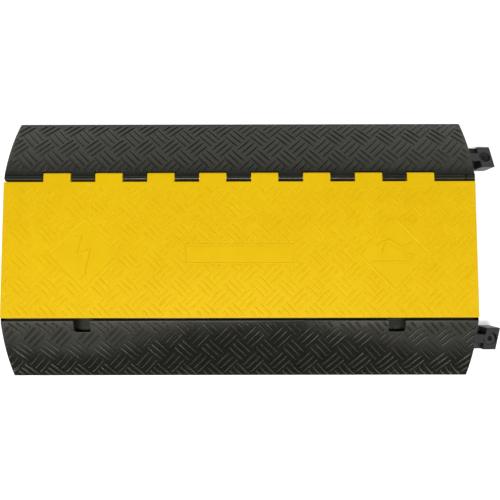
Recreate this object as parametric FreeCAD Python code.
"""Five-channel cable protector ramp with a hinged lid.

Frame: millimetres, +Z up.  The origin is the middle of the base's underside, +X runs along
the cable channels towards the connectors, and +Y points to the hinge side of the lid.
"""
import FreeCAD, Part
import math
import os

# Overall sizes of the base
LENGTH = 900.0
WIDTH = 508.0
HALF_LENGTH = LENGTH / 2
HALF_WIDTH = WIDTH / 2
LID_TOP = 50.0

# Ramps: one convex arc each side, given by its slope at the shoulder
RAMP_RADIUS = 390.0
SHOULDER_Y = 143.0
SHOULDER_Z = 48.3
SHOULDER_SLOPE = math.radians(13.0)
FAR_TOP_Z = 49.4
NEAR_WALL_Y = -138.8
END_ROUND = 1.5

# Cable channels
CHANNELS = 5
CHANNEL_WIDTH = 36.0
DIVIDER = 14.0
FIRST_CHANNEL_Y = -124.0
FLOOR = 6.0
LEDGE_Z = 40.7
CHANNEL_ROUND = 4.0

# Lid
LID_THICK = 9.0
LID_NEAR_Y = -134.3
LID_FAR_Y = 124.5
LID_OVERHANG = 1.0
LID_ROUND = 1.5
LID_POCKET_DEPTH = 3.5
LID_POCKETS = 12
LID_RIB = 8.0

# Hinge: lid knuckles alternate with base knuckles on one rod
AXIS_Y = 132.5
AXIS_Z = 43.5
BARREL_R = 6.5
TABS = 8
TAB_WIDTH = 51.8
TAB_PITCH = 99.3
TAB_MIDDLE_X = -1.2
TAB_FAR_Y = 142.8
TAB_TOP_ROUND = 6.0
TAB_CORNER = 2.5
SLOT_SIDE_GAP = 1.4
SLOT_R = 11.8
ROD_R = 3.0
BASE_BORE_R = 3.03
LID_BORE_R = 3.08
ROD_LEFT_X = -439.0
ROD_RIGHT_X = 414.0

# Plug in the right-hand end of the hinge bore
PLUG_SEAT_X = 431.0
PLUG_HEAD_X = 435.0
PLUG_END_X = 451.0
PLUG_R = 6.3
PLUG_NECK_R = 4.2
PLUG_SEAT_R = 6.8
PLUG_ROUND = 2.6

# Raised frames on the lid
FRAME_RISE = 1.6
DIAMOND_MIDDLE_X = -0.2
DIAMOND_BAND = 6.8
DIAMOND_X = 295.0
DIAMOND_Y = -14.4
DIAMOND_HALF = 74.0
PLATE_BAND = 4.2
PLATE_HALF_X = 103.6
PLATE_HALF_Y = 20.0
PLATE_X = -0.4
PLATE_Y = -13.8

# Finger notches in the near ramp
NOTCH_X = 297.0
NOTCH_WIDTH = 32.0
NOTCH_NEAR_Y = -161.0
NOTCH_FAR_Y = -128.0
NOTCH_FLOOR_Z = 32.0
NOTCH_ROUND = 5.0

# T-shaped connectors at the right-hand end, and the sockets for them at the left-hand end
CONNECTOR_Y = 179.0
HEAD_HALF_Y = 22.5
HEAD_X0 = 476.5
HEAD_X1 = 501.5
STEM_HALF_Y = 8.5
WEB_HALF_Y = 22.0
WEB_TOP = 9.0
HEAD_HIGH_Z = 31.0
HEAD_LOW_Z = 15.5
CONNECTOR_BOTTOM = 1.0
BOSS_X = 487.0
BOSS_R = 10.5
BOSS_TOP = 21.5
GROOVE_R = 12.5
GROOVE_Z = 17.5
HOLE_R = 4.5
FAR_SEAT_R = 10.8
FAR_SEAT_Z = 18.5
ROOT_X = 408.0
ROOT_HALF_Y = 16.0
ROOT_TOP = 22.0
ROOT_GAP = 0.1
SOCKET_GAP = 1.2
SOCKET_TOP_GAP = 1.5

# Screws and inserts that hold the connectors' roots
SCREW_XS = (419.0, 439.0)
SCREW_R = 3.0
SCREW_HEAD_R = 5.2
SCREW_HEAD_TALL = 3.3
SCREW_SEAT_Z = 5.0
SCREW_SEAT_R = 6.0
SCREW_TIP_Z = 29.5
SCREW_HOLE_R = 3.3
SCREW_KEY_R = 2.0
SCREW_KEY_DEEP = 2.0
INSERT_R = 4.0
INSERT_TALL = 8.5

# Hollow cells under the ramps
CELLS = 11
CELL_PITCH = 70.2
CELL_WIDTH = 62.0
CELL_INNER_Y = 151.0
CELL_SHORT_Y = 171.0
CELL_SKIN = 9.0
CELL_TOE_Z = 4.0

ABOVE = 10.0
ARC_Y = SHOULDER_Y - RAMP_RADIUS * math.sin(SHOULDER_SLOPE)
ARC_Z = SHOULDER_Z - RAMP_RADIUS * math.cos(SHOULDER_SLOPE)
LID_BOTTOM = LID_TOP - LID_THICK
TAB_CENTRES = [TAB_MIDDLE_X + (k - (TABS - 1) / 2) * TAB_PITCH for k in range(TABS)]


def arc_z(y, radius=RAMP_RADIUS):
    """Height of the ramp's arc, or of one concentric with it, at a distance y from the middle."""
    return ARC_Z + math.sqrt(radius ** 2 - (abs(y) - ARC_Y) ** 2)


def arc_y(z, radius=RAMP_RADIUS):
    """Distance from the middle at which that arc is z high."""
    return ARC_Y + math.sqrt(radius ** 2 - (z - ARC_Z) ** 2)


def at(x, y, z):
    return FreeCAD.Vector(x, y, z)


def box(x0, x1, y0, y1, z0, z1):
    """Box between two corners."""
    return Part.makeBox(x1 - x0, y1 - y0, z1 - z0, at(x0, y0, z0))


def rod(x0, x1, radius):
    """Cylinder along the hinge axis."""
    return Part.makeCylinder(radius, x1 - x0, at(x0, AXIS_Y, AXIS_Z), at(1, 0, 0))


def post(x, y, z0, z1, radius):
    """Upright cylinder."""
    return Part.makeCylinder(radius, z1 - z0, at(x, y, z0), at(0, 0, 1))


def ring_of(points):
    """Edges that join the points in order; a point given as (end, middle) is reached by an arc."""
    edges = []
    here = points[0]
    for step in points[1:]:
        if isinstance(step, tuple):
            end, middle = step
            edges.append(Part.Arc(here, middle, end).toShape())
        else:
            end = step
            edges.append(Part.makeLine(here, end))
        here = end
    return Part.Face(Part.Wire(edges))


def upright_edges(shape, test):
    """Edges parallel to Z whose x and y pass the test."""
    found = []
    for edge in shape.Edges:
        a, b = edge.Vertexes[0].Point, edge.Vertexes[-1].Point
        if abs(a.x - b.x) < 1e-6 and abs(a.y - b.y) < 1e-6 and test(a.x, a.y):
            found.append(edge)
    return found


def ramp_points(side, x, top_y, toe_y, toe_z, radius=RAMP_RADIUS):
    """Two ends and the middle of a ramp's arc on one side, from the top to the toe."""
    middle_y = (top_y + toe_y) / 2
    top = at(x, side * top_y, arc_z(top_y, radius))
    middle = at(x, side * middle_y, arc_z(middle_y, radius))
    return top, middle, at(x, side * toe_y, toe_z)


def base_block():
    """The base's outer shape: floor, both ramps, the lid's ledge and the hinge barrel."""
    x = -HALF_LENGTH
    toe_z = arc_z(HALF_WIDTH)
    far_top, far_mid, far_toe = ramp_points(1, x, arc_y(FAR_TOP_Z), HALF_WIDTH, toe_z)
    near_top, near_mid, near_toe = ramp_points(-1, x, -NEAR_WALL_Y, HALF_WIDTH, toe_z)
    outline = [
        at(x, HALF_WIDTH, 0), far_toe, (far_top, far_mid),
        at(x, AXIS_Y, FAR_TOP_Z), at(x, AXIS_Y, AXIS_Z), at(x, AXIS_Y - BARREL_R, AXIS_Z),
        at(x, AXIS_Y - BARREL_R, LEDGE_Z), at(x, NEAR_WALL_Y, LEDGE_Z), near_top,
        (near_toe, near_mid), at(x, -HALF_WIDTH, 0), at(x, HALF_WIDTH, 0),
    ]
    block = ring_of(outline).extrude(at(LENGTH, 0, 0))
    return block.fuse(rod(-HALF_LENGTH, HALF_LENGTH, BARREL_R)).removeSplitter()


def channel(index):
    """One cable channel, open at both ends and at the top, with rounded lower corners."""
    y0 = FIRST_CHANNEL_Y + index * (CHANNEL_WIDTH + DIVIDER)
    hollow = box(-HALF_LENGTH - ABOVE, HALF_LENGTH + ABOVE, y0, y0 + CHANNEL_WIDTH, FLOOR, LID_TOP)
    lower = [e for e in hollow.Edges if e.Length > LENGTH and e.CenterOfMass.z < FLOOR + 1]
    return hollow.makeFillet(CHANNEL_ROUND, lower)


def tab_slot(x):
    """Room in the base for one lid knuckle and its swing."""
    half = TAB_WIDTH / 2 + SLOT_SIDE_GAP
    around = rod(x - half, x + half, SLOT_R)
    over = box(x - half, x + half, AXIS_Y - SLOT_R, AXIS_Y + SLOT_R, AXIS_Z, LID_TOP + ABOVE)
    return around.fuse(over).removeSplitter()


def notch(x):
    """Finger notch beside the lid's near edge."""
    half = NOTCH_WIDTH / 2
    hollow = box(x - half, x + half, NOTCH_NEAR_Y, NOTCH_FAR_Y, NOTCH_FLOOR_Z, LID_TOP + ABOVE)
    return hollow.makeFillet(NOTCH_ROUND, upright_edges(hollow, lambda _, y: y < NOTCH_NEAR_Y + 1))


def cell(side, x, inner_y):
    """Hollow cell under a ramp, with its ceiling parallel to the ramp's surface."""
    radius = RAMP_RADIUS - CELL_SKIN
    toe_y = arc_y(CELL_TOE_Z, radius)
    top, middle, toe = ramp_points(side, x - CELL_WIDTH / 2, inner_y, toe_y, CELL_TOE_Z, radius)
    outline = [
        at(toe.x, side * inner_y, -1), top, (toe, middle),
        at(toe.x, side * toe_y, -1), at(toe.x, side * inner_y, -1),
    ]
    return ring_of(outline).extrude(at(CELL_WIDTH, 0, 0))


def cells():
    """All cells, shorter where a finger notch stands above."""
    made = []
    for side in (-1, 1):
        for k in range(CELLS):
            x = (k - (CELLS - 1) / 2) * CELL_PITCH
            reach = CELL_WIDTH / 2 + NOTCH_WIDTH / 2
            under_notch = side < 0 and abs(abs(x) - NOTCH_X) < reach
            made.append(cell(side, x, CELL_SHORT_Y if under_notch else CELL_INNER_Y))
    return made


def sloped_wedge(side, x0, x1, half_y, gap=0.0):
    """Upright block about a connector's middle line, its top falling towards the toe."""
    slope = (HEAD_HIGH_Z - HEAD_LOW_Z) / (2 * HEAD_HALF_Y)
    middle_z = (HEAD_HIGH_Z + HEAD_LOW_Z) / 2 + gap
    inner, outer = CONNECTOR_Y - half_y, CONNECTOR_Y + half_y
    bottom = CONNECTOR_BOTTOM if gap == 0 else -1.0
    outline = [
        at(x0, side * inner, bottom), at(x0, side * inner, middle_z + slope * half_y),
        at(x0, side * outer, middle_z - slope * half_y), at(x0, side * outer, bottom),
        at(x0, side * inner, bottom),
    ]
    return ring_of(outline).extrude(at(x1 - x0, 0, 0))


def connector(side):
    """T-shaped connector: head, stem, low foot plate and the root that is screwed up into the base."""
    head = sloped_wedge(side, HEAD_X0, HEAD_X1, HEAD_HALF_Y)
    corners = upright_edges(head, lambda x, y: True)
    head = head.makeFillet(1.5, corners)
    stem = sloped_wedge(side, HALF_LENGTH, HEAD_X0 + 1, STEM_HALF_Y)
    y = side * CONNECTOR_Y
    groove = post(BOSS_X, y, GROOVE_Z, HEAD_HIGH_Z + ABOVE, GROOVE_R)
    boss = post(BOSS_X, y, CONNECTOR_BOTTOM, BOSS_TOP, BOSS_R)
    root = box(ROOT_X + ROOT_GAP, HALF_LENGTH, y - ROOT_HALF_Y + ROOT_GAP, y + ROOT_HALF_Y - ROOT_GAP,
               CONNECTOR_BOTTOM, ROOT_TOP - ROOT_GAP)
    web = box(HALF_LENGTH, HEAD_X0 + 1, y - WEB_HALF_Y, y + WEB_HALF_Y, CONNECTOR_BOTTOM, WEB_TOP)
    if side > 0:
        seat = post(BOSS_X, y, FAR_SEAT_Z, HEAD_HIGH_Z + ABOVE, FAR_SEAT_R)
        body = head.fuse([stem, web, root]).cut(seat).removeSplitter()
    else:
        body = head.fuse([stem, web]).cut(groove).fuse([boss, root]).removeSplitter()
    holes = [post(BOSS_X, y, -ABOVE, LID_TOP, HOLE_R)]
    for x in SCREW_XS:
        holes.append(post(x, y, -ABOVE, SCREW_SEAT_Z, SCREW_SEAT_R))
        holes.append(post(x, y, -ABOVE, LID_TOP, SCREW_HOLE_R))
    return body.cut(holes)


def socket(side):
    """T-shaped hollow under the left-hand end that drops over a neighbour's connector."""
    head = sloped_wedge(side, HEAD_X0 - LENGTH - SOCKET_GAP, HEAD_X1 - LENGTH + SOCKET_GAP,
                        HEAD_HALF_Y + SOCKET_GAP, SOCKET_TOP_GAP)
    stem = sloped_wedge(side, -HALF_LENGTH - 1, HEAD_X0 - LENGTH, STEM_HALF_Y + SOCKET_GAP, SOCKET_TOP_GAP)
    y = side * CONNECTOR_Y
    mouth_half = WEB_HALF_Y + SOCKET_GAP
    mouth = box(-HALF_LENGTH - 1, HEAD_X0 - LENGTH, y - mouth_half, y + mouth_half, -1, WEB_TOP + SOCKET_GAP)
    return head.fuse([stem, mouth]).removeSplitter()


def root_pocket(side):
    """Pocket for a connector's root, with the bores for the two inserts above it."""
    y = side * CONNECTOR_Y
    pocket = box(ROOT_X, HALF_LENGTH + 1, y - ROOT_HALF_Y, y + ROOT_HALF_Y, -1, ROOT_TOP)
    bores = [post(x, y, ROOT_TOP - 1, ROOT_TOP + INSERT_TALL, INSERT_R) for x in SCREW_XS]
    return pocket.fuse(bores)


def plug_seat():
    """Room cut out of the last base knuckle for the rod's end plug."""
    around = rod(PLUG_SEAT_X, HALF_LENGTH + ABOVE, PLUG_SEAT_R)
    over = box(PLUG_SEAT_X, HALF_LENGTH + ABOVE, AXIS_Y - PLUG_SEAT_R - 1, AXIS_Y, AXIS_Z, LID_TOP + ABOVE)
    return around.fuse(over).removeSplitter()


def base():
    """The black moulding."""
    hollows = [channel(k) for k in range(CHANNELS)]
    hollows += [tab_slot(x) for x in TAB_CENTRES]
    hollows += [notch(x) for x in (-NOTCH_X, NOTCH_X)]
    hollows += [root_pocket(side) for side in (-1, 1)]
    hollows += [socket(side) for side in (-1, 1)]
    hollows += cells()
    hollows.append(rod(ROD_LEFT_X - 1, HALF_LENGTH + ABOVE, BASE_BORE_R))
    hollows.append(plug_seat())
    return base_block().cut(hollows).removeSplitter()


def lid_tab(x):
    """One lid knuckle: a barrel about the rod under a flat top with a round far corner."""
    x0 = x - TAB_WIDTH / 2
    turn_y, turn_z = TAB_FAR_Y - TAB_TOP_ROUND, LID_TOP - TAB_TOP_ROUND
    lean = TAB_TOP_ROUND * math.sqrt(0.5)
    outline = [
        at(x0, LID_FAR_Y - 2, LID_BOTTOM), at(x0, LID_FAR_Y - 2, LID_TOP), at(x0, turn_y, LID_TOP),
        (at(x0, TAB_FAR_Y, turn_z), at(x0, turn_y + lean, turn_z + lean)),
        at(x0, TAB_FAR_Y, AXIS_Z), at(x0, AXIS_Y, AXIS_Z), at(x0, AXIS_Y, LID_BOTTOM),
        at(x0, LID_FAR_Y - 2, LID_BOTTOM),
    ]
    flat = ring_of(outline).extrude(at(TAB_WIDTH, 0, 0))
    knuckle = flat.fuse(rod(x0, x0 + TAB_WIDTH, BARREL_R)).removeSplitter()
    plan = box(x0, x0 + TAB_WIDTH, LID_FAR_Y - 3, TAB_FAR_Y, 0, LID_TOP + 1)
    plan = plan.makeFillet(TAB_CORNER, upright_edges(plan, lambda _, y: y > AXIS_Y))
    return knuckle.common(plan)


def lid_pockets():
    """Shallow hollows in the lid's underside, one row over each channel."""
    made = []
    pitch = LENGTH / LID_POCKETS
    for row in range(CHANNELS):
        y0 = FIRST_CHANNEL_Y + row * (CHANNEL_WIDTH + DIVIDER) + 1
        for k in range(LID_POCKETS):
            x0 = -HALF_LENGTH + k * pitch + LID_RIB / 2
            made.append(box(x0, x0 + pitch - LID_RIB, y0, y0 + CHANNEL_WIDTH - 2,
                            LID_BOTTOM - 1, LID_BOTTOM + LID_POCKET_DEPTH))
    return made


def outline_frame(points, inner):
    """Raised frame on the lid between two outlines."""
    sunk = LID_TOP - 1
    outer_face = ring_of([at(x, y, sunk) for x, y in points])
    inner_face = ring_of([at(x, y, sunk) for x, y in inner])
    return outer_face.cut(inner_face).extrude(at(0, 0, 1 + FRAME_RISE))


def diamond(x, half):
    """Corners of a diamond about one side's middle, closed."""
    y = DIAMOND_Y
    return [(x - half, y), (x, y + half), (x + half, y), (x, y - half), (x - half, y)]


def plate(inset):
    """Corners of the nameplate's outline, closed."""
    a, b = PLATE_HALF_X - inset, PLATE_HALF_Y - inset
    return [(PLATE_X + u * a, PLATE_Y + v * b) for u, v in ((-1, -1), (-1, 1), (1, 1), (1, -1), (-1, -1))]


def lid():
    """The yellow moulding."""
    reach = HALF_LENGTH + LID_OVERHANG
    slab = box(-reach, reach, LID_NEAR_Y, LID_FAR_Y, LID_BOTTOM, LID_TOP)
    slab = slab.makeFillet(TAB_CORNER, upright_edges(slab, lambda x, y: True))
    top = [e for e in slab.Edges if abs(e.CenterOfMass.z - LID_TOP) < 1e-6 and e.CenterOfMass.y < LID_FAR_Y - 1]
    slab = slab.makeFillet(LID_ROUND, top)
    solid = slab.fuse([lid_tab(x) for x in TAB_CENTRES])
    slant = DIAMOND_BAND * math.sqrt(2)
    frames = [outline_frame(diamond(x, DIAMOND_HALF), diamond(x, DIAMOND_HALF - slant))
              for x in (DIAMOND_MIDDLE_X - DIAMOND_X, DIAMOND_MIDDLE_X + DIAMOND_X)]
    frames.append(outline_frame(plate(0), plate(PLATE_BAND)))
    solid = solid.fuse(frames).removeSplitter()
    return solid.cut(lid_pockets() + [rod(-HALF_LENGTH, HALF_LENGTH, LID_BORE_R)])


def rod_end_plug():
    """Plug with a domed head and a spigot in the hinge bore."""
    head = rod(PLUG_HEAD_X, PLUG_END_X, PLUG_R)
    rims = [e for e in head.Edges if isinstance(e.Curve, Part.Circle)]
    head = head.makeFillet(PLUG_ROUND, rims)
    return head.fuse([rod(PLUG_SEAT_X, PLUG_HEAD_X + 1, PLUG_NECK_R), rod(ROD_RIGHT_X + 0.2, PLUG_SEAT_X + 1, ROD_R)])


def fasteners(make):
    """The same small part at each of the four screw places."""
    return Part.makeCompound([make(x, side * CONNECTOR_Y) for side in (-1, 1) for x in SCREW_XS])


def screw(x, y):
    """Socket-head screw that points up."""
    head = post(x, y, SCREW_SEAT_Z - SCREW_HEAD_TALL, SCREW_SEAT_Z, SCREW_HEAD_R)
    shank = post(x, y, SCREW_SEAT_Z - 0.5, SCREW_TIP_Z, SCREW_R)
    low = SCREW_SEAT_Z - SCREW_HEAD_TALL
    corners = [(math.cos(math.radians(60 * k)), math.sin(math.radians(60 * k))) for k in range(7)]
    key = ring_of([at(x + SCREW_KEY_R * c, y + SCREW_KEY_R * s, low - 1) for c, s in corners])
    return head.fuse(shank).cut(key.extrude(at(0, 0, SCREW_KEY_DEEP + 1)))


def insert(x, y):
    """Brass insert around the screw's thread."""
    sleeve = post(x, y, ROOT_TOP + 0.1, ROOT_TOP + INSERT_TALL - 0.3, INSERT_R - 0.02)
    return sleeve.cut(post(x, y, 0, LID_TOP, SCREW_R + 0.02))


PARTS = {
    "base": base,
    "lid": lid,
    "hinge_rod": lambda: rod(ROD_LEFT_X, ROD_RIGHT_X, ROD_R),
    "rod_end_plug": rod_end_plug,
    "far_connector": lambda: connector(1),
    "near_connector": lambda: connector(-1),
    "connector_screws": lambda: fasteners(screw),
    "threaded_inserts": lambda: fasteners(insert),
}

os.makedirs("parts", exist_ok=True)
for name, make in PARTS.items():
    shape = make()
    shape.exportStep("parts/" + name + ".step")
    size = shape.BoundBox
    print(name, shape.isValid(), len(shape.Solids), round(shape.Volume / 1000, 1),
          [round(v, 1) for v in (size.XMin, size.YMin, size.ZMin, size.XMax, size.YMax, size.ZMax)])
